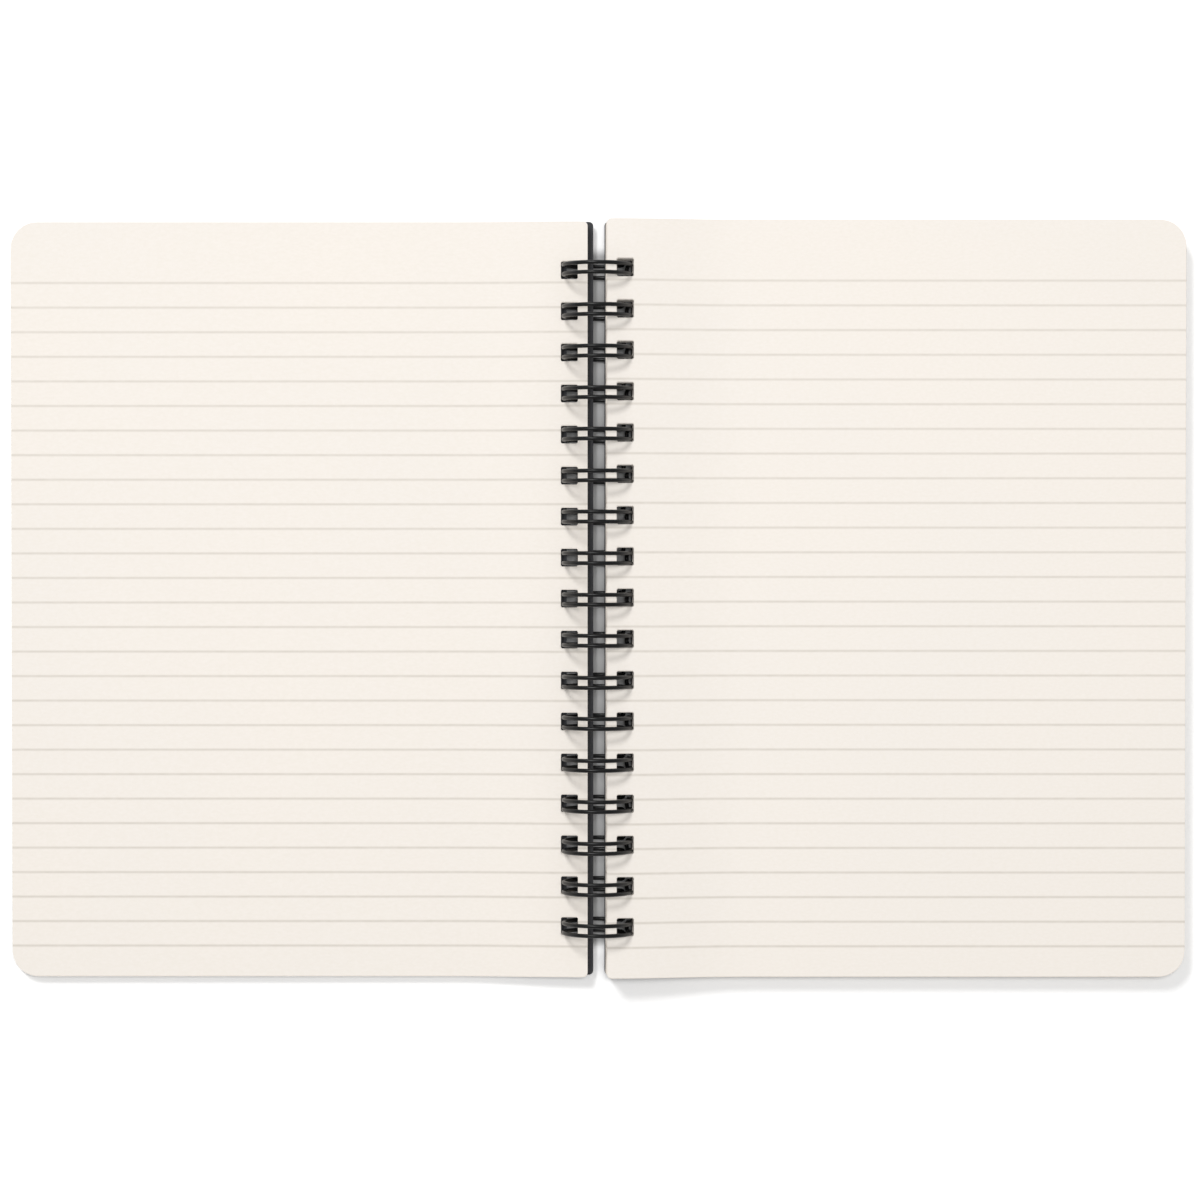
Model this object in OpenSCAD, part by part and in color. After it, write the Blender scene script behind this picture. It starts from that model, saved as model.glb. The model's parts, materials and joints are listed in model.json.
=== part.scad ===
// Ruled notebook with a twin-loop wire binding, lying open and flat on a table.
// X runs to the right across both pages, Y runs up the pages and Z is up.
// The origin is on the table under the ring axis, half way up the pages.
// All lengths are in millimetres.

/* [Page] */
// Width of a sheet, from its spine edge to its fore edge
page_w = 178.7; // [120:0.1:240]
// Height of a sheet, from its bottom edge to its top edge
page_h = 233.9; // [180:0.1:320]
// Radius of the two corners at the fore edge
corner_r = 8; // [2:0.5:20]
// Radius of the two corners at the spine edge
spine_corner_r = 1.3; // [0.5:0.1:3]
// Thickness of the block of turned sheets on the left
left_stack_t = 3.6; // [1:0.1:4]
// Thickness of the block of sheets on the right
right_stack_t = 8.6; // [4:0.1:9]

/* [Covers] */
// Thickness of the card of each cover
cover_t = 0.8; // [0.4:0.05:1]
// How far the front cover has slid on the wire, past the spine edge of its pages
front_cover_slide = 1.75; // [0.8:0.05:2]
// How far the back cover has slid on the wire, past the spine edge of its pages
back_cover_slide = 0.8; // [0.3:0.05:2]

/* [Bend at the spine] */
// Length over which the sheets climb from the table to the rings
bend_run = 42; // [30:1:70]
// Least play between the inside of a ring and the near end of its holes, in height
lift_play = 0.3; // [0.2:0.05:0.5]

/* [Punched holes] */
// Size of a hole across the page
hole_w = 5.4; // [5:0.1:5.8]
// Width of the strip of sheet between the holes and the spine edge
hole_edge = 2.85; // [2:0.05:4]
// Play between the outside of a ring and the far end of its holes
hole_end_play = 0.25; // [0.15:0.05:0.4]
// Play between a wire pair and the sides of its holes
hole_side_play = 0.75; // [0.7:0.05:1.2]
// Radius in the corners of a hole
hole_corner_r = 0.4; // [0.2:0.1:1.2]
// How far the row of holes lies above the middle of the page
hole_row_lift = 0.45; // [0:0.05:0.5]
// How far the sheets on the left have slid down along the wire
left_slip = 0.2; // [0:0.05:0.5]
// How far the sheets on the right have slid up along the wire
right_slip = 0.15; // [0:0.05:0.2]

/* [Wire] */
// Diameter of the coated wire
wire_d = 1.25; // [0.85:0.1:1.35]
// Radius of a ring at the middle of its wire
ring_r = 10.4; // [10.2:0.1:11.5]
// Distance from one pair of wires to the next
loop_pitch = 12.7; // [11:0.1:16]
// Distance between the two wires of a pair
pair_spacing = 3; // [2.6:0.1:3.6]
// Least distance from the top or bottom edge of a page to its nearest wire pair
loop_margin = 14.5; // [12:0.5:24]
// Bend radius where a loop turns into the straight wire beside it
root_bend_r = 1; // [0.9:0.1:1.5]
// Gap between the tip of a loop and the line of straight wires that it closes on
seam_gap = 0.3; // [0.2:0.1:1]
// Play of the seam's straight wires, over the back cover and under the last sheet
seam_play = 0.12; // [0.1:0.01:0.2]

/* [Ruling] */
// Distance from one ruled line to the next
line_pitch = 7.62; // [5:0.01:10]
// Width of a ruled line
line_w = 0.6; // [0.3:0.05:1]
// Distance from the top edge of a page to its first line
head_margin = 18.8; // [12:0.1:40]
// Least distance from the bottom edge of a page to its last line
foot_margin = 9; // [8.5:0.5:30]
// Thickness that the printed lines are drawn with
ink_t = 0.08; // [0.05:0.01:0.15]

/* [Hidden] */

// Ring axis: the rings stand on the table
axis_z = ring_r + wire_d / 2;
ring_inner_r = ring_r - wire_d / 2;
ring_outer_r = ring_r + wire_d / 2;

// Holes and spine edge, measured out from the ring axis
hole_far = ring_outer_r + hole_end_play;
hole_near = hole_far - hole_w;
page_inset = hole_near - hole_edge;
hole_h = pair_spacing + wire_d + 2 * hole_side_play;

// The bend ends where the sheets lie flat
bend_end = page_inset + bend_run;
bend_steps = 14;

// Height of the spine edge of each cover, at which the rings pass through its holes and its pages'
front_lift = spine_lift(front_cover_slide);
back_lift = spine_lift(back_cover_slide);

// Straight wires of the seam, which lie between the back cover and the last sheet
root_d = wire_d + 0.02;
root_r = sqrt(pow(ring_r, 2) + pow(root_bend_r, 2));
root_z = cover_t + back_lift + seam_play + root_d / 2;
root_turn = -asin((axis_z - root_z) / root_r);
root_far_x = root_r * cos(root_turn) + root_d / 2;

// Height of the spine edge of the sheets on the right, which leaves room for those wires
right_lift = (root_z + root_d / 2 + seam_play - cover_t) / rise(root_far_x, 1);

// Rows of loops and lines
loop_count = floor((page_h - 2 * loop_margin) / loop_pitch) + 1;
loop_row = (loop_count - 1) * loop_pitch;
line_count = floor((page_h - head_margin - foot_margin) / line_pitch) + 1;

// Arcs taken by the tip, the root bend and the gap between them, in degrees
seam_length = pair_spacing / 2 + wire_d + seam_gap + root_bend_r;
seam_arc = 360 * seam_length / (2 * PI * ring_r);
tip_angle = root_turn - atan(root_bend_r / ring_r) + seam_arc;
ring_arc = 360 - seam_arc;

// The seam's wire is a hair thicker than the rings, so that its bends take in the rings' ends
root_gap = loop_pitch - pair_spacing;
root_lap = 0.06;
root_lap_arc = 360 * root_lap / (2 * PI * ring_r);

// Height to which the flat outlines are extruded before the bend trims them
trim_h = 4 * axis_z;

paper_colour = [0.97, 0.94, 0.90];
cover_colour = [0.17, 0.17, 0.18];
wire_colour = [0.09, 0.09, 0.10];
line_colour = [0.88, 0.85, 0.82];

// Height of the inside of a ring above the table at the distance x from its axis
function ring_height(x) = axis_z - sqrt(pow(ring_inner_r, 2) - pow(x, 2));

// Height to which a cover that has slid as far as slide lifts at its spine edge
function spine_lift(slide) =
    max(ring_height(hole_near - slide), ring_height(hole_near) - cover_t) + lift_play;

// How high a sheet that lifts as far as lift lies above its flat part, at x from the ring axis
function rise(x, lift) =
    let (t = min(1, max(0, (bend_end - x) / bend_run)))
    lift * (1 - cos(180 * t)) / 2;

// Distances from the axis at which the bend is drawn, from the spine edge outwards
function bend_places(spine_x, far_x) = concat(
    [spine_x],
    [for (i = [1:bend_steps]) page_inset + bend_run * i / bend_steps],
    [far_x]
);

// Rectangle from [x0, y0] to [x1, y1] with one radius at its near and one at its far corners
module rounded_sheet(x0, x1, y0, y1, near_r, far_r) {
    union() {
        translate([x0 + near_r, y0]) square([x1 - x0 - near_r - far_r, y1 - y0]);
        translate([x0, y0 + near_r]) square([near_r, y1 - y0 - 2 * near_r]);
        translate([x1 - far_r, y0 + far_r]) square([far_r, y1 - y0 - 2 * far_r]);
        for (y = [y0 + near_r, y1 - near_r])
            translate([x0 + near_r, y]) circle(r = near_r, $fn = 32);
        for (y = [y0 + far_r, y1 - far_r])
            translate([x1 - far_r, y]) circle(r = far_r, $fn = 64);
    }
}

// One punched hole in a sheet whose spine edge lies slide nearer the axis than the pages' edge
module punched_hole(slide) {
    rounded_sheet(
        hole_near - slide, hole_far - slide, -hole_h / 2, hole_h / 2,
        hole_corner_r, hole_corner_r
    );
}

// The row of punched holes
module hole_row(slide) {
    for (i = [0:loop_count - 1])
        translate([0, i * loop_pitch - loop_row / 2 + hole_row_lift]) punched_hole(slide);
}

// Outline of a sheet on the right of the axis, with its holes
module sheet_outline(slide) {
    spine_x = page_inset - slide;
    difference() {
        rounded_sheet(
            spine_x, spine_x + page_w, -page_h / 2, page_h / 2,
            spine_corner_r, corner_r
        );
        hole_row(slide);
    }
}

// Layer that follows the bend from its spine edge to its fore edge, as high as the page is
module bent_layer(slide, lift, low, thickness) {
    spine_x = page_inset - slide;
    places = bend_places(spine_x, spine_x + page_w);
    last = len(places) - 1;
    under = [for (x = places) [x, low + rise(x, lift)]];
    over = [for (i = [last:-1:0]) [places[i], low + thickness + rise(places[i], lift)]];
    translate([0, page_h / 2, 0])
        rotate([90, 0, 0])
        linear_extrude(height = page_h)
        polygon(concat(under, over));
}

// A cover or a block of sheets, on the right of the axis
module bent_stack(slide, lift, low, thickness) {
    intersection() {
        bent_layer(slide, lift, low, thickness);
        linear_extrude(height = trim_h) sheet_outline(slide);
    }
}

// The printed lines on top of a block of sheets, on the right of the axis
module bent_ruling(lift, stack_t) {
    intersection() {
        bent_layer(0, lift, cover_t + stack_t, ink_t);
        linear_extrude(height = trim_h) difference() {
            for (i = [0:line_count - 1])
                translate([page_inset, page_h / 2 - head_margin - i * line_pitch - line_w / 2])
                square([page_w, line_w]);
            hole_row(0);
        }
    }
}

// Arc of round wire in the XY plane, from +X towards +Y
module wire_arc(r, angle, d) {
    rotate_extrude(angle = angle, $fn = 96) translate([r, 0]) circle(d = d, $fn = 24);
}

// One twin loop round the Z axis: two rings and the tip that joins them
module twin_loop() {
    for (side = [-1, 1])
        translate([0, 0, side * pair_spacing / 2])
        rotate([0, 0, tip_angle])
        wire_arc(ring_r, ring_arc + root_lap_arc, wire_d);
    rotate([0, 0, tip_angle])
        translate([ring_r, 0, 0])
        rotate([0, 90, 0])
        rotate([0, 0, 180])
        wire_arc(pair_spacing / 2, 180, wire_d);
}

// Bend that leads a ring's end, going +Y at the origin, round to +Z
module root_bend() {
    translate([0, 0, root_bend_r]) rotate([0, 90, 0]) wire_arc(root_bend_r, 90, root_d);
}

// Straight wire of the seam, as long as length, which starts where a bend ends
module root_wire(length) {
    translate([0, root_bend_r, root_bend_r]) cylinder(d = root_d, h = length, $fn = 24);
}

// Wire of the seam from one loop to the next
module root_link() {
    root_bend();
    root_wire(root_gap - 2 * root_bend_r);
    translate([0, 0, root_gap]) mirror([0, 0, 1]) root_bend();
}

// Cut end of the wire past the last loop, on the side of +Z
module wire_end() {
    translate([0, 0, loop_row / 2 + pair_spacing / 2]) {
        root_bend();
        root_wire(root_gap / 2 - root_bend_r);
    }
}

module back_cover() {
    color(cover_colour) bent_stack(back_cover_slide, back_lift, 0, cover_t);
}

module front_cover() {
    color(cover_colour)
        mirror([1, 0, 0]) bent_stack(front_cover_slide, front_lift, 0, cover_t);
}

module left_pages() {
    color(paper_colour)
        translate([0, -left_slip, 0])
        mirror([1, 0, 0]) bent_stack(0, front_lift, cover_t, left_stack_t);
}

module right_pages() {
    color(paper_colour)
        translate([0, right_slip, 0])
        bent_stack(0, right_lift, cover_t, right_stack_t);
}

module left_ruling() {
    color(line_colour)
        translate([0, -left_slip, 0])
        mirror([1, 0, 0]) bent_ruling(front_lift, left_stack_t);
}

module right_ruling() {
    color(line_colour)
        translate([0, right_slip, 0])
        bent_ruling(right_lift, right_stack_t);
}

module binding_wire() {
    color(wire_colour) translate([0, 0, axis_z]) rotate([90, 0, 0]) {
        for (i = [0:loop_count - 1])
            translate([0, 0, i * loop_pitch - loop_row / 2]) twin_loop();
        rotate([0, 0, tip_angle + ring_arc]) translate([ring_r, 0, 0]) {
            for (i = [0:loop_count - 2])
                translate([0, 0, i * loop_pitch - loop_row / 2 + pair_spacing / 2]) root_link();
            wire_end();
            mirror([0, 0, 1]) wire_end();
        }
    }
}

back_cover();
binding_wire();
front_cover();
left_pages();
left_ruling();
right_pages();
right_ruling();
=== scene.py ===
"""Looks of an open wire-bound notebook: sheets of ruled paper, card covers and a coated twin-loop wire."""

import json
import math
import random

import bmesh
import bpy
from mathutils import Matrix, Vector


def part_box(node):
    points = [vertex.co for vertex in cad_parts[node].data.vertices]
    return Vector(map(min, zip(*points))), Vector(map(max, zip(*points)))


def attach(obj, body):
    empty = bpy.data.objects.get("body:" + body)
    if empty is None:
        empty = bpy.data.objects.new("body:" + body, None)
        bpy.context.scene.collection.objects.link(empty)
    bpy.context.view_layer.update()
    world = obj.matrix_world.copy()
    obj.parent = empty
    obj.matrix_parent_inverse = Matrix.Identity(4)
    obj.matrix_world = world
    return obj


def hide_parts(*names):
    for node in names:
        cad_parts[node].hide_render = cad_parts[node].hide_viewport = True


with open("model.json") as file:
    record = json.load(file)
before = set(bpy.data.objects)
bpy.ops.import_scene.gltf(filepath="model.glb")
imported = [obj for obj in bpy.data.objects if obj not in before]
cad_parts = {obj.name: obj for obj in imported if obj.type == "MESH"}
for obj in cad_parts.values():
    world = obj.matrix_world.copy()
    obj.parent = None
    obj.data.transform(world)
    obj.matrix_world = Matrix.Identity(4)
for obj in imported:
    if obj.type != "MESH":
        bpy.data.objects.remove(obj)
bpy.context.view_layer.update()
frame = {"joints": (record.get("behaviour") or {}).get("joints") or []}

MM = 0.001
SEED = 17
RNG = random.Random(SEED)

# Thickness of the two blocks of sheets
STACK_T = {"left": 3.6 * MM, "right": 8.6 * MM}

# Sizes taken from the frame
page_low, page_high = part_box("right_pages")
PAGE_IN = page_low.x
PAGE_W = page_high.x - page_low.x
PAGE_H = page_high.y - page_low.y
COVER_T = page_low.z
FRONT_IN = -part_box("front_cover")[1].x
BACK_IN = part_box("back_cover")[0].x
AXIS_Z = frame["joints"][0]["pos_m"][2]
PAGE_LIFT = {s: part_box(s + "_pages")[1].z - COVER_T - STACK_T[s] for s in STACK_T}
SLIP = {s: sum(corner.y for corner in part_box(s + "_pages")) / 2 for s in STACK_T}
COVER_LIFT = {
    "left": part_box("front_cover")[1].z - COVER_T,
    "right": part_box("back_cover")[1].z - COVER_T,
}

# The bend at the spine and the corners
BEND_RUN = 42 * MM
BEND_END = PAGE_IN + BEND_RUN
FORE_CORNER_R = 8 * MM
SPINE_CORNER_R = 1.3 * MM

# The wire
WIRE_R = 0.625 * MM
RING_R = AXIS_Z - WIRE_R
LOOP_COUNT = 17
LOOP_PITCH = 12.7 * MM
PAIR_SPACING = 3 * MM
ROOT_BEND_R = 1 * MM
SEAM_GAP = 0.3 * MM
SEAM_PLAY = 0.12 * MM

# A ring flares sideways before its root bend, over a stretch of the ring given in degrees
ROOT_FLARE = 0.3 * MM
FLARE_START = 236
FLARE_RUN = 27

# How far a loop sways along the spine at most, and its second ring from its first, in mm
LOOP_SWAY = 0.16
RING_SWAY = 0.07

# How finely the wire is drawn
WIRE_SIDES = 16
RING_STEPS = 72
TIP_STEPS = 12
ROOT_STEPS = 6

# The dome on a cut end: its length as a share of the wire's radius, and its rings from the tip inwards,
# each with its place as a share of the dome's length and its width as a share of the wire's
DOME_LENGTH = 0.5
DOME_RINGS = [(0, 0.12), (0.3, 0.72), (0.65, 0.94)]

# The punched holes
HOLE_W = 5.4 * MM
HOLE_H = 5.75 * MM
HOLE_R = 0.4 * MM
HOLE_EDGE = 2.85 * MM
HOLE_NEAR = PAGE_IN + HOLE_EDGE
HOLE_ROW_LIFT = 0.45 * MM
LOOP_YS = [(i - (LOOP_COUNT - 1) / 2) * LOOP_PITCH for i in range(LOOP_COUNT)]
HOLE_YS = [y + HOLE_ROW_LIFT for y in LOOP_YS]

# The sheets: how many, the share of their pitch that is paper, and how far the lowest lies nearer the spine
SHEET_COUNT = {"left": 30, "right": 71}
SHEET_SHARE = 0.84
SHEET_LEAN = {"left": 0, "right": 0.52 * MM}

# How far the sheets under the top one lie out of line, in mm, and how far they are turned, in radians
SHEET_OUT = (0.02, 0.16)
SHEET_UP = (-0.3, 0.02)
SHEET_TURN = 0.0004

# The ruling: a line fades from its middle to its edge, and the ink is weaker towards the top of a page
LINE_COUNT = 28
LINE_PITCH = 7.62 * MM
HEAD_MARGIN = 18.8 * MM
LINE_CORE = 0.05 * MM
LINE_EDGE = 0.62 * MM
TOP_INK = 0.74

# Faces of a sheet that meet at more than this angle, in degrees, have a sharp edge between them
SHARP_ANGLE = 40

# The covers: how far and in how many steps their rims are rounded, the angle in degrees between two faces
# that makes the edge between them a rim, and how much large faces rule the shading
EDGE_ROUND = 0.14 * MM
EDGE_STEPS = 3
RIM_ANGLE = 60
FLAT_FACE_WEIGHT = 100

# Corners of polygons are the same point where they agree to this many steps in a metre
POINT_STEPS = 1e8

# A normal that points up or down by more than this lies on a sheet's face, and not on its cut edge
FACE_UPRIGHT = 0.7

# The span of a noise texture that holds nearly all of its values
NOISE_LOW = 0.3
NOISE_HIGH = 0.7

# The curve between sRGB and linear colour
SRGB_TOP = 255
SRGB_KNEE = 0.04045
SRGB_SLOPE = 12.92
SRGB_OFFSET = 0.055
SRGB_POWER = 2.4

# Sockets of the Mix node: its factor and two colours, and the colour that it gives
MIX_INPUTS = (0, 6, 7)
MIX_RESULT = 2

# The ground: half its width in metres, its colour to the camera where it is closed in, which is a painted
# shade, and where it is open, and its colour to all other rays
GROUND_HALF = 4
GROUND_PAINTED_SHADE = (0.45, 0.45, 0.45, 1)
GROUND_OPEN = (1.2, 1.2, 1.2, 1)
GROUND_LIT = (0.7, 0.7, 0.7, 1)

# The share of directions free of the object, within a reach, at which the ground's painted shade is full or
# gone
OPENING_REACH = 30 * MM
OPENING_SAMPLES = 32
OPENING_SHUT = 0.36
OPENING_CLEAR = 0.5

# Distances from the middle, up and down the pages, over which the painted shade on the gutter's ground
# gives way to the open one
GUTTER_END = PAGE_H / 2 - 11 * MM
GUTTER_OPEN = PAGE_H / 2 - 7 * MM

# Distances in metres over which the far ground turns to plain white
FAR_START = 0.3
FAR_FULL = 0.8

# The light: places and sizes in metres
WORLD_STRENGTH = 0.32
KEY_PLACE = (-0.66, 1.1, 1.9)
KEY_SIZE = 0.5
KEY_WATTS = 20.6
FILL_PLACE = (0.08, 0.09, 1.35)
FILL_SIZE = 0.26
FILL_WATTS = 6.6

# The camera, which looks almost straight down from above the upper half of the pages, and whose sensor
# and lens are in mm
CAMERA_HEIGHT = 1070 * MM
CAMERA_X = 0.825 * MM
CAMERA_Y = 16 * MM
AIM_Y = -0.4 * MM
SENSOR = 36
LENS = 102.98
CLIP_START = 0.01


def rise(x, lift):
    """Height of a sheet above its flat part, at the distance x from the ring axis."""
    t = min(1, max(0, (BEND_END - x) / BEND_RUN))
    return lift * (1 - math.cos(math.pi * t)) / 2


def arc(cx, cy, r, start, end, steps):
    """Points on a circle from the angle start to the angle end, in degrees."""
    turns = [math.radians(start + (end - start) * i / steps) for i in range(steps + 1)]
    return [(cx + r * math.cos(a), cy + r * math.sin(a)) for a in turns]


def sheet_plan(x_in, corner_steps, hole_steps, bend_steps):
    """Polygons that fill a sheet seen from above, on the right of the ring axis."""
    x_out = x_in + PAGE_W
    near = HOLE_NEAR + x_in - PAGE_IN
    far = near + HOLE_W
    half = PAGE_H / 2
    flank = HOLE_H / 2 - HOLE_R
    stops = [y + s * flank for y in HOLE_YS for s in (-1, 1)]
    left_in = x_in + SPINE_CORNER_R
    left_end = arc(left_in, half - SPINE_CORNER_R, SPINE_CORNER_R, 90, 180, corner_steps)
    left_end += arc(left_in, SPINE_CORNER_R - half, SPINE_CORNER_R, 180, 270, corner_steps)
    faces = [[(near, -half)] + [(near, y) for y in stops] + [(near, half)] + left_end]

    def hole_top(y):
        points = arc(near + HOLE_R, y + flank, HOLE_R, 180, 90, hole_steps)
        return points + arc(far - HOLE_R, y + flank, HOLE_R, 90, 0, hole_steps)

    def hole_bottom(y):
        points = arc(far - HOLE_R, y - flank, HOLE_R, 0, -90, hole_steps)
        return points + arc(near + HOLE_R, y - flank, HOLE_R, -90, -180, hole_steps)

    lows = [[(near, -half), (far, -half)]] + [hole_top(y) for y in HOLE_YS]
    highs = [hole_bottom(y) for y in HOLE_YS] + [[(far, half), (near, half)]]
    faces += [low + high for low, high in zip(lows, highs)]

    bend = [far + (BEND_END - far) * i / bend_steps for i in range(1, bend_steps + 1)]
    columns = [far] + bend + [x_out - FORE_CORNER_R]
    for a, b in zip(columns, columns[1:]):
        seam = [(a, y) for y in reversed(stops)] if a == far else []
        faces.append([(a, -half), (b, -half), (b, half), (a, half)] + seam)
    corner_x = columns[-1]
    fore_end = arc(corner_x, FORE_CORNER_R - half, FORE_CORNER_R, -90, 0, 2 * corner_steps)
    fore_end += arc(corner_x, half - FORE_CORNER_R, FORE_CORNER_R, 0, 90, 2 * corner_steps)
    faces.append(fore_end)
    return faces


class SheetBuilder:
    """Collects closed sheets, each a plan given a thickness and laid on the bend, in one mesh."""

    def __init__(self, side, lift):
        self.sign = -1 if side == "left" else 1
        self.lift = lift
        self.points = []
        self.faces = []

    def add(self, plan, low, thickness, shift=(0, 0), turn=0):
        """Adds one sheet, moved by shift and turned by a small angle in its own plane."""
        index = {}
        flat = []
        polygons = []
        for polygon in plan:
            corners = []
            for x, y in polygon:
                key = (round(x * POINT_STEPS), round(y * POINT_STEPS))
                if key not in index:
                    index[key] = len(flat)
                    flat.append((x + shift[0] - turn * y, y + shift[1] + turn * x))
                corners.append(index[key])
            polygons.append(corners)
        start = len(self.points)
        count = len(flat)
        for height in (0, thickness):
            bottom = low + height
            self.points += [(self.sign * x, y, bottom + rise(x, self.lift)) for x, y in flat]
        edges = {(a, b) for p in polygons for a, b in zip(p, p[1:] + p[:1])}
        walls = [(b, a, a + count, b + count) for a, b in edges if (b, a) not in edges]
        walls.sort()
        new = [list(reversed(p)) for p in polygons]
        new += [[i + count for i in p] for p in polygons]
        new += [[w[1], w[0], w[3], w[2]] for w in walls]
        for face in new:
            ordered = face if self.sign > 0 else list(reversed(face))
            self.faces.append([i + start for i in ordered])

    def object(self, name):
        """The mesh of all the sheets, as an object in the scene."""
        mesh = bpy.data.meshes.new(name)
        mesh.from_pydata(self.points, [], self.faces)
        mesh.update()
        mesh.shade_smooth()
        mesh.set_sharp_from_angle(angle=math.radians(SHARP_ANGLE))
        piece = bpy.data.objects.new(name, mesh)
        bpy.context.scene.collection.objects.link(piece)
        return piece


def make_sheets(side):
    """A block of loose sheets, a little out of line as they are when a book lies open."""
    count = SHEET_COUNT[side]
    pitch = STACK_T[side] / count
    outer_plan = sheet_plan(PAGE_IN, corner_steps=6, hole_steps=4, bend_steps=24)
    inner_plan = sheet_plan(PAGE_IN, corner_steps=3, hole_steps=1, bend_steps=8)
    builder = SheetBuilder(side, PAGE_LIFT[side])
    for i in range(count):
        top = i == count - 1
        plan = outer_plan if top or i == 0 else inner_plan
        low = COVER_T + i * pitch + pitch * (1 - SHEET_SHARE)
        lean = SHEET_LEAN[side] * (1 - i / (count - 1))
        out = 0 if top else RNG.uniform(*SHEET_OUT) * MM - lean
        up = 0 if top else RNG.uniform(*SHEET_UP) * MM
        turn = 0 if top else RNG.uniform(-SHEET_TURN, SHEET_TURN)
        builder.add(plan, low, pitch * SHEET_SHARE, (out, up), turn)
    piece = builder.object(side + "_sheets")
    piece.location.y = SLIP[side]
    return piece


def make_cover(name, side, x_in):
    """A card cover with softly rounded edges."""
    builder = SheetBuilder(side, COVER_LIFT[side])
    builder.add(sheet_plan(x_in, corner_steps=8, hole_steps=5, bend_steps=24), 0, COVER_T)
    piece = builder.object(name)
    shape = bmesh.new()
    shape.from_mesh(piece.data)
    rims = [e for e in shape.edges if e.calc_face_angle(0) > math.radians(RIM_ANGLE)]
    bmesh.ops.bevel(shape, geom=rims, offset=EDGE_ROUND, segments=EDGE_STEPS, affect="EDGES")
    shape.to_mesh(piece.data)
    shape.free()
    piece.data.shade_smooth()
    flatten = piece.modifiers.new("flatten", "WEIGHTED_NORMAL")
    flatten.mode = "FACE_AREA"
    flatten.weight = FLAT_FACE_WEIGHT
    return piece


def wire_path():
    """The middle line of the one wire, from its cut end at the bottom to the one at the top."""
    seam_arc = (PAIR_SPACING / 2 + 2 * WIRE_R + SEAM_GAP + ROOT_BEND_R) / RING_R
    seam_z = COVER_T + COVER_LIFT["right"] + SEAM_PLAY + WIRE_R
    seam_turn = -math.asin((AXIS_Z - seam_z) / math.hypot(RING_R, ROOT_BEND_R))
    root_turn = seam_turn - math.atan(ROOT_BEND_R / RING_R) + 2 * math.pi
    tip_turn = root_turn + seam_arc - 2 * math.pi
    centre = Vector((0, 0, AXIS_Z))
    along = Vector((0, 1, 0))

    def outward(a):
        return Vector((math.cos(a), 0, math.sin(a)))

    def onward(a):
        return Vector((-math.sin(a), 0, math.cos(a)))

    def root(y, side):
        """The bend from a ring into the straight link beside it."""
        bend_y = y + side * (ROOT_FLARE + ROOT_BEND_R)
        middle = centre + RING_R * outward(root_turn) + bend_y * along
        turns = [math.pi / 2 * i / ROOT_STEPS for i in range(ROOT_STEPS + 1)]
        return [
            middle - ROOT_BEND_R * (side * math.cos(a) * along - math.sin(a) * onward(root_turn))
            for a in turns
        ]

    def ring(y, lean, side):
        """One ring, from its tip to its root, which sways by lean and flares at its root."""
        shares = [i / RING_STEPS for i in range(RING_STEPS + 1)]
        places = []
        for share in shares:
            a = tip_turn + (root_turn - tip_turn) * share
            t = min(1, max(0, (math.degrees(a) - FLARE_START) / FLARE_RUN))
            flare = side * ROOT_FLARE * t * t * (3 - 2 * t)
            sway = lean * (1 - math.cos(2 * math.pi * share)) / 2
            places.append(centre + RING_R * outward(a) + (y + sway + flare) * along)
        return places

    def tip(y):
        """The rounded tip that joins the two rings of a loop."""
        middle = centre + RING_R * outward(tip_turn) + y * along
        turns = [math.pi * i / TIP_STEPS for i in range(1, TIP_STEPS)]
        return [
            middle - PAIR_SPACING / 2 * (math.cos(a) * along + math.sin(a) * onward(tip_turn))
            for a in turns
        ]

    stub = ((LOOP_PITCH - PAIR_SPACING) / 2 - ROOT_FLARE - ROOT_BEND_R) * along
    points = []
    for y in LOOP_YS:
        low_y, high_y = y - PAIR_SPACING / 2, y + PAIR_SPACING / 2
        lean = RNG.uniform(-LOOP_SWAY, LOOP_SWAY) * MM
        first_root = list(reversed(root(low_y, -1)))
        last_root = root(high_y, 1)
        points += [first_root[0] - stub] if y == LOOP_YS[0] else []
        points += first_root
        points += list(reversed(ring(low_y, lean, -1)))[1:]
        points += tip(y)
        points += ring(high_y, lean + RNG.uniform(-RING_SWAY, RING_SWAY) * MM, 1)[:-1]
        points += last_root
        points += [last_root[-1] + stub] if y == LOOP_YS[-1] else []
    return points


def make_tube(name, path, radius, sides):
    """A round tube along a path, with domed ends, turned as little as the path allows."""
    first = (path[1] - path[0]).normalized()
    last = (path[-1] - path[-2]).normalized()
    dome = radius * DOME_LENGTH
    stations = [(path[0] - first * dome * (1 - d), first, w) for d, w in DOME_RINGS]
    for before, here, after in zip([path[0]] + path, path, path[1:] + [path[-1]]):
        stations.append((here, (after - before).normalized(), 1))
    stations += [(path[-1] + last * dome * (1 - d), last, w) for d, w in reversed(DOME_RINGS)]
    normal = first.orthogonal().normalized()
    points = []
    for place, heading, width in stations:
        normal = (normal - heading * normal.dot(heading)).normalized()
        side = heading.cross(normal)
        for k in range(sides):
            a = 2 * math.pi * k / sides
            points.append(place + width * radius * (math.cos(a) * normal + math.sin(a) * side))
    faces = []
    for s in range(len(stations) - 1):
        for k in range(sides):
            n = (k + 1) % sides
            faces.append((s * sides + k, s * sides + n, (s + 1) * sides + n, (s + 1) * sides + k))
    faces.append(tuple(reversed(range(sides))))
    faces.append(tuple(range(len(points) - sides, len(points))))
    mesh = bpy.data.meshes.new(name)
    mesh.from_pydata(points, [], faces)
    mesh.update()
    mesh.shade_smooth()
    piece = bpy.data.objects.new(name, mesh)
    bpy.context.scene.collection.objects.link(piece)
    return piece


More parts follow.
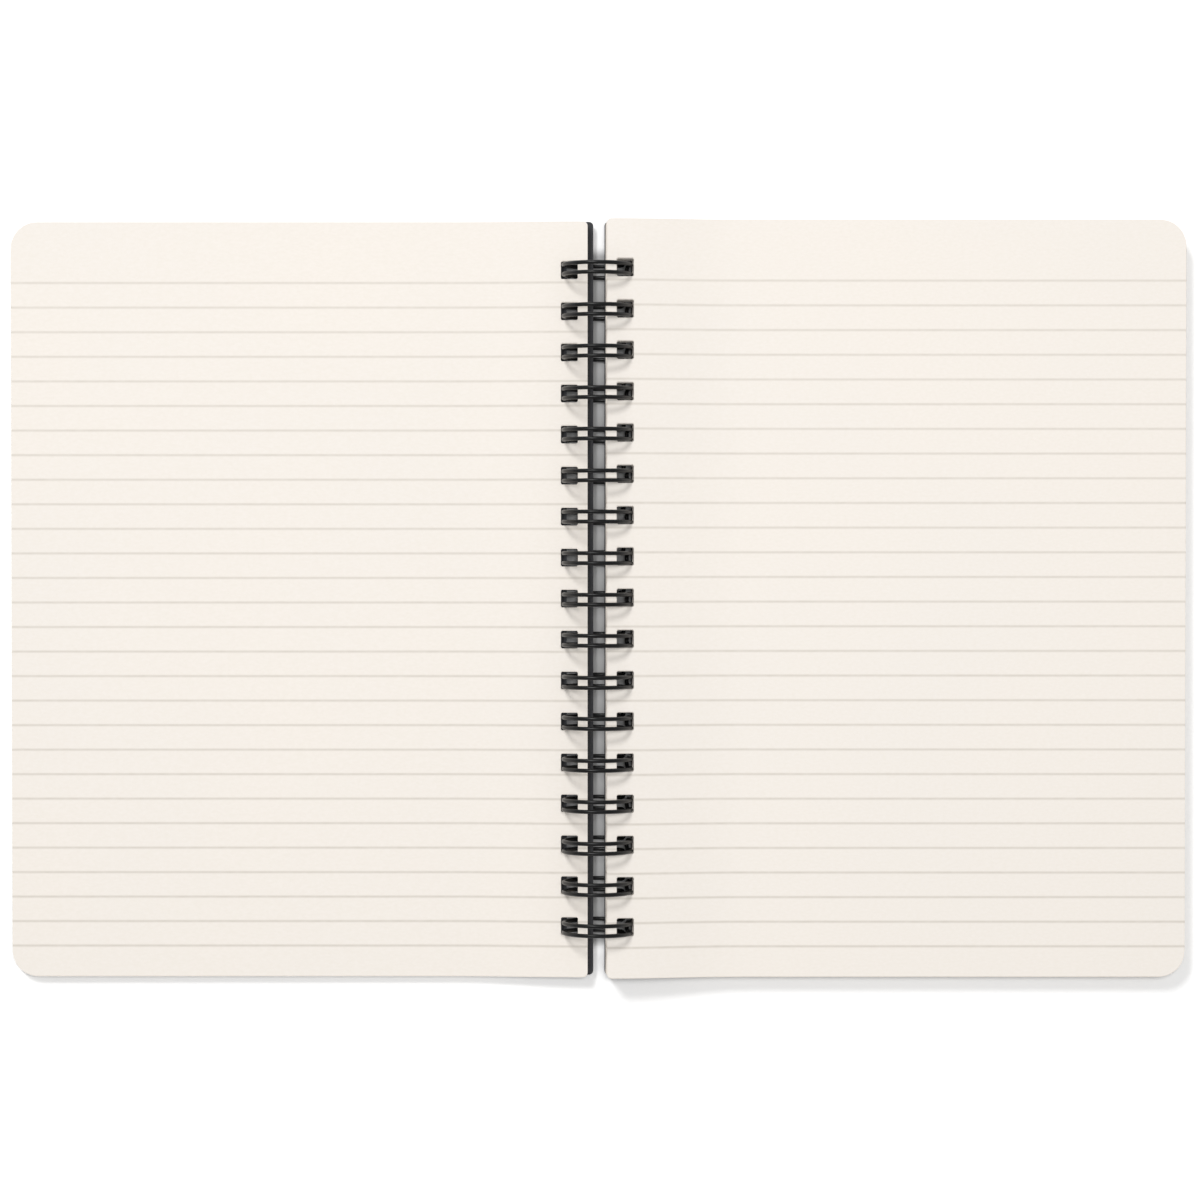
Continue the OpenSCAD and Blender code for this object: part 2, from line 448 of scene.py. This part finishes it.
class Nodes:
    """Short helper for a material's node tree."""

    def __init__(self, name):
        self.material = bpy.data.materials.new(name)
        self.material.use_nodes = True
        self.tree = self.material.node_tree
        self.shader = self.tree.nodes["Principled BSDF"]

    def add(self, kind, **values):
        node = self.tree.nodes.new(kind)
        for key, value in values.items():
            setattr(node, key, value)
        return node

    def link(self, source, target):
        self.tree.links.new(source, target)

    def feed(self, socket, value):
        """Gives a socket a plain value or a link."""
        if isinstance(value, (tuple, float, int)):
            socket.default_value = value
        else:
            self.link(value, socket)

    def split(self, vector):
        """The X, Y and Z of a vector."""
        node = self.add("ShaderNodeSeparateXYZ")
        self.link(vector, node.inputs[0])
        return node.outputs

    def math(self, operation, *values):
        node = self.add("ShaderNodeMath", operation=operation)
        for socket, value in zip(node.inputs, values):
            self.feed(socket, value)
        return node.outputs[0]

    def noise(self, coordinates, scale, detail, stretch=None):
        node = self.add("ShaderNodeTexNoise")
        node.inputs["Scale"].default_value = scale
        node.inputs["Detail"].default_value = detail
        source = coordinates
        if stretch:
            mapping = self.add("ShaderNodeMapping")
            mapping.inputs["Scale"].default_value = stretch
            self.link(coordinates, mapping.inputs["Vector"])
            source = mapping.outputs["Vector"]
        self.link(source, node.inputs["Vector"])
        return node.outputs["Fac"]

    def ramp(self, value, start, end, low=0, high=1, kind="LINEAR"):
        """Runs from low to high while the value runs from start to end, and stays there."""
        node = self.add("ShaderNodeMapRange", interpolation_type=kind)
        node.inputs["From Min"].default_value = start
        node.inputs["From Max"].default_value = end
        node.inputs["To Min"].default_value = low
        node.inputs["To Max"].default_value = high
        self.link(value, node.inputs["Value"])
        return node.outputs["Result"]

    def spread(self, noise, low, high):
        """A noise brought to the span from low to high."""
        return self.ramp(noise, NOISE_LOW, NOISE_HIGH, low, high)

    def mix(self, factor, a, b):
        node = self.add("ShaderNodeMix", data_type="RGBA")
        for index, value in zip(MIX_INPUTS, (factor, a, b)):
            self.feed(node.inputs[index], value)
        return node.outputs[MIX_RESULT]

    def bump(self, height, strength, distance):
        node = self.add("ShaderNodeBump")
        node.inputs["Strength"].default_value = strength
        node.inputs["Distance"].default_value = distance
        self.link(height, node.inputs["Height"])
        self.link(node.outputs["Normal"], self.shader.inputs["Normal"])


def linear(r, g, b):
    """An sRGB colour of 0 to 255 as a linear one with alpha."""

    def one(v):
        if v <= SRGB_KNEE:
            return v / SRGB_SLOPE
        return ((v + SRGB_OFFSET) / (1 + SRGB_OFFSET)) ** SRGB_POWER

    return tuple(one(v / SRGB_TOP) for v in (r, g, b)) + (1,)


def ruling(n, place, on_face, surface):
    """How much ink covers each point of the faces."""
    first_line = PAGE_H / 2 - HEAD_MARGIN
    steps_down = n.math("DIVIDE", n.math("SUBTRACT", first_line, place["Y"]), LINE_PITCH)
    nearest = n.math("ROUND", steps_down)
    away = n.math("ABSOLUTE", n.math("SUBTRACT", steps_down, nearest))
    ink = n.ramp(away, LINE_EDGE / LINE_PITCH, LINE_CORE / LINE_PITCH, kind="SMOOTHSTEP")
    below_head = n.math("GREATER_THAN", nearest, -0.5)
    above_foot = n.math("LESS_THAN", nearest, LINE_COUNT - 0.5)
    inside = n.math("MULTIPLY", below_head, above_foot)
    covered = n.math("MULTIPLY", n.math("MULTIPLY", ink, inside), on_face)
    patchy = n.spread(n.noise(surface, scale=900, detail=3, stretch=(0.35, 1, 1)), 0.75, 1)
    fade = n.ramp(place["Y"], -PAGE_H / 2, PAGE_H / 2, 1, TOP_INK)
    return n.math("MULTIPLY", covered, n.math("MULTIPLY", patchy, fade))


def paper_material():
    """Cream uncoated paper, ruled on both faces of every sheet."""
    warm = linear(250, 243, 235)
    cloud = linear(248, 242, 235)
    fibre = linear(243, 236, 226)
    print_grey = linear(221, 214, 204)
    edge_light = linear(244, 237, 226)
    edge_dark = linear(228, 220, 207)

    n = Nodes("ruled_paper")
    coordinates = n.add("ShaderNodeTexCoord")
    surface = coordinates.outputs["Object"]
    place = n.split(surface)
    facing = n.split(coordinates.outputs["Normal"])
    on_face = n.math("GREATER_THAN", n.math("ABSOLUTE", facing["Z"]), FACE_UPRIGHT)
    line = ruling(n, place, on_face, surface)

    clouds = n.noise(surface, scale=14, detail=3)
    fibres = n.noise(surface, scale=1500, detail=4, stretch=(0.5, 1, 1))
    clouded = n.mix(n.spread(clouds, 0, 1), warm, cloud)
    toned = n.mix(n.spread(fibres, 0, 0.5), clouded, fibre)
    inked = n.mix(line, toned, print_grey)
    cut_grain = n.noise(surface, scale=2600, detail=2, stretch=(0.25, 0.25, 2.4))
    cut_edge = n.mix(n.spread(cut_grain, 0, 1), edge_light, edge_dark)
    n.link(n.mix(on_face, cut_edge, inked), n.shader.inputs["Base Color"])
    n.link(n.spread(fibres, 0.82, 0.95), n.shader.inputs["Roughness"])
    n.shader.inputs["Specular IOR Level"].default_value = 0.25
    n.bump(n.noise(surface, scale=3200, detail=4), strength=0.25, distance=0.02 * MM)
    return n.material


def card_material():
    """Dark grey card with a fine felt of fibres, lighter on its rounded rims and cut sides by the way they
    face: partly wear, partly a painted highlight.
    """
    dark = linear(54, 55, 57)
    pale = linear(60, 60, 64)
    fleck = linear(74, 75, 79)
    rim_highlight_and_wear = linear(96, 96, 100)

    n = Nodes("cover_card")
    coordinates = n.add("ShaderNodeTexCoord")
    surface = coordinates.outputs["Object"]
    felt = n.noise(surface, scale=1400, detail=5, stretch=(0.6, 1, 1))
    clouds = n.noise(surface, scale=30, detail=4)
    base = n.mix(n.spread(clouds, 0, 1), dark, pale)
    flecked = n.mix(n.spread(felt, 0, 0.55), base, fleck)
    facing = n.split(coordinates.outputs["Normal"])
    # Painted highlight and wear: faces that turn away from upright, on the rounded rims and cut sides, are
    # made lighter
    rim_highlight_and_wear_mask = n.ramp(n.math("ABSOLUTE", facing["Z"]), start=0.96, end=0.5, high=0.35)
    n.link(n.mix(rim_highlight_and_wear_mask, flecked, rim_highlight_and_wear), n.shader.inputs["Base Color"])
    n.link(n.spread(felt, 0.62, 0.8), n.shader.inputs["Roughness"])
    n.shader.inputs["Specular IOR Level"].default_value = 0.4
    n.bump(felt, strength=0.3, distance=0.04 * MM)
    return n.material


def wire_material():
    """Steel wire in a smooth black plastic coat."""
    black = linear(13, 13, 14)
    pale_black = linear(22, 22, 23)

    n = Nodes("coated_wire")
    surface = n.add("ShaderNodeTexCoord").outputs["Object"]
    drawn = n.noise(surface, scale=900, detail=3)
    n.link(n.mix(n.spread(drawn, 0, 1), black, pale_black), n.shader.inputs["Base Color"])
    n.link(n.spread(drawn, 0.28, 0.4), n.shader.inputs["Roughness"])
    n.shader.inputs["Specular IOR Level"].default_value = 0.38
    n.bump(n.noise(surface, scale=2400, detail=2), strength=0.12, distance=0.02 * MM)
    return n.material


def ground_material():
    """Ground that keeps the shadow, and shows the camera a painted shade of grey where the object closes it
    in, and white elsewhere.
    """
    n = Nodes("ground_with_painted_shade")
    n.shader.inputs["Roughness"].default_value = 0.9
    n.shader.inputs["Specular IOR Level"].default_value = 0
    rays = n.add("ShaderNodeLightPath")
    seen = n.math("MAXIMUM", rays.outputs["Is Camera Ray"], rays.outputs["Is Glossy Ray"])
    seen = n.math("MAXIMUM", seen, rays.outputs["Is Transmission Ray"])

    # Painted shade: where the object closes the ground in, the camera sees it grey instead of white
    opening = n.add("ShaderNodeAmbientOcclusion", samples=OPENING_SAMPLES)
    opening.inputs["Distance"].default_value = OPENING_REACH
    clear = n.ramp(opening.outputs["AO"], OPENING_SHUT, OPENING_CLEAR, kind="SMOOTHSTEP")
    surface = n.add("ShaderNodeTexCoord").outputs["Object"]
    from_middle = n.math("ABSOLUTE", n.split(surface)["Y"])
    beyond = n.ramp(from_middle, GUTTER_END, GUTTER_OPEN, kind="SMOOTHSTEP")
    # The camera's colour of the ground, with the painted shade where it is closed in
    seen_colour_with_painted_shade = n.mix(n.math("MAXIMUM", clear, beyond), GROUND_PAINTED_SHADE, GROUND_OPEN)
    n.link(n.mix(seen, GROUND_LIT, seen_colour_with_painted_shade), n.shader.inputs["Base Color"])

    reach = n.add("ShaderNodeVectorMath", operation="LENGTH")
    n.link(surface, reach.inputs[0])
    far = n.ramp(reach.outputs["Value"], FAR_START, FAR_FULL, kind="SMOOTHSTEP")
    n.shader.inputs["Emission Color"].default_value = (1, 1, 1, 1)
    n.link(n.math("MULTIPLY", seen, far), n.shader.inputs["Emission Strength"])
    n.material.cycles.emission_sampling = "NONE"
    return n.material


def dress(piece, material, body, slot, *nodes):
    """Gives a piece its material, the body that it moves with and the CAD nodes that it stands for."""
    piece.data.materials.append(material)
    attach(piece, body)
    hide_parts(*nodes)


def make_floor():
    """The ground that the notebook lies on."""
    half = GROUND_HALF
    mesh = bpy.data.meshes.new("floor")
    corners = [(-half, -half, 0), (half, -half, 0), (half, half, 0), (-half, half, 0)]
    mesh.from_pydata(corners, [], [(0, 1, 2, 3)])
    mesh.materials.append(ground_material())
    floor = bpy.data.objects.new("floor", mesh)
    bpy.context.scene.collection.objects.link(floor)


def make_world():
    """Even white studio light from all round."""
    world = bpy.data.worlds.new("studio")
    world.use_nodes = True
    background = world.node_tree.nodes["Background"]
    background.inputs["Color"].default_value = (1, 1, 1, 1)
    background.inputs["Strength"].default_value = WORLD_STRENGTH
    bpy.context.scene.world = world


def make_lamp(name, place, size, watts, glossy=True):
    """A soft square lamp that faces the middle of the object."""
    light = bpy.data.lights.new(name, "AREA")
    light.size = size
    light.energy = watts
    lamp = bpy.data.objects.new(name, light)
    lamp.location = place
    lamp.rotation_euler = (-Vector(place)).to_track_quat("-Z", "Y").to_euler()
    lamp.visible_camera = False
    lamp.visible_glossy = glossy
    bpy.context.scene.collection.objects.link(lamp)


def make_camera():
    """The camera of the photograph."""
    data = bpy.data.cameras.new("camera")
    data.sensor_width = SENSOR
    data.lens = LENS
    data.clip_start = CLIP_START
    camera = bpy.data.objects.new("camera", data)
    camera.location = (CAMERA_X, CAMERA_Y, CAMERA_HEIGHT)
    camera.rotation_euler = (-math.atan((CAMERA_Y - AIM_Y) / CAMERA_HEIGHT), 0, 0)
    bpy.context.scene.collection.objects.link(camera)
    bpy.context.scene.camera = camera


make_camera()
make_floor()
make_world()
make_lamp("key_lamp", KEY_PLACE, KEY_SIZE, KEY_WATTS)
make_lamp("fill_lamp", FILL_PLACE, FILL_SIZE, FILL_WATTS, glossy=False)
bpy.context.scene.view_settings.view_transform = "Standard"

paper = paper_material()
card = card_material()
dress(make_sheets("left"), paper, "left_block", "paper", "left_pages", "left_ruling")
dress(make_sheets("right"), paper, "right_block", "paper", "right_pages", "right_ruling")
dress(make_cover("front_card", "left", FRONT_IN), card, "front", "cover_card", "front_cover")
dress(make_cover("back_card", "right", BACK_IN), card, "back", "cover_card", "back_cover")
wire = make_tube("twin_loop_wire", wire_path(), WIRE_R, WIRE_SIDES)
dress(wire, wire_material(), "back", "coated_wire", "binding_wire")
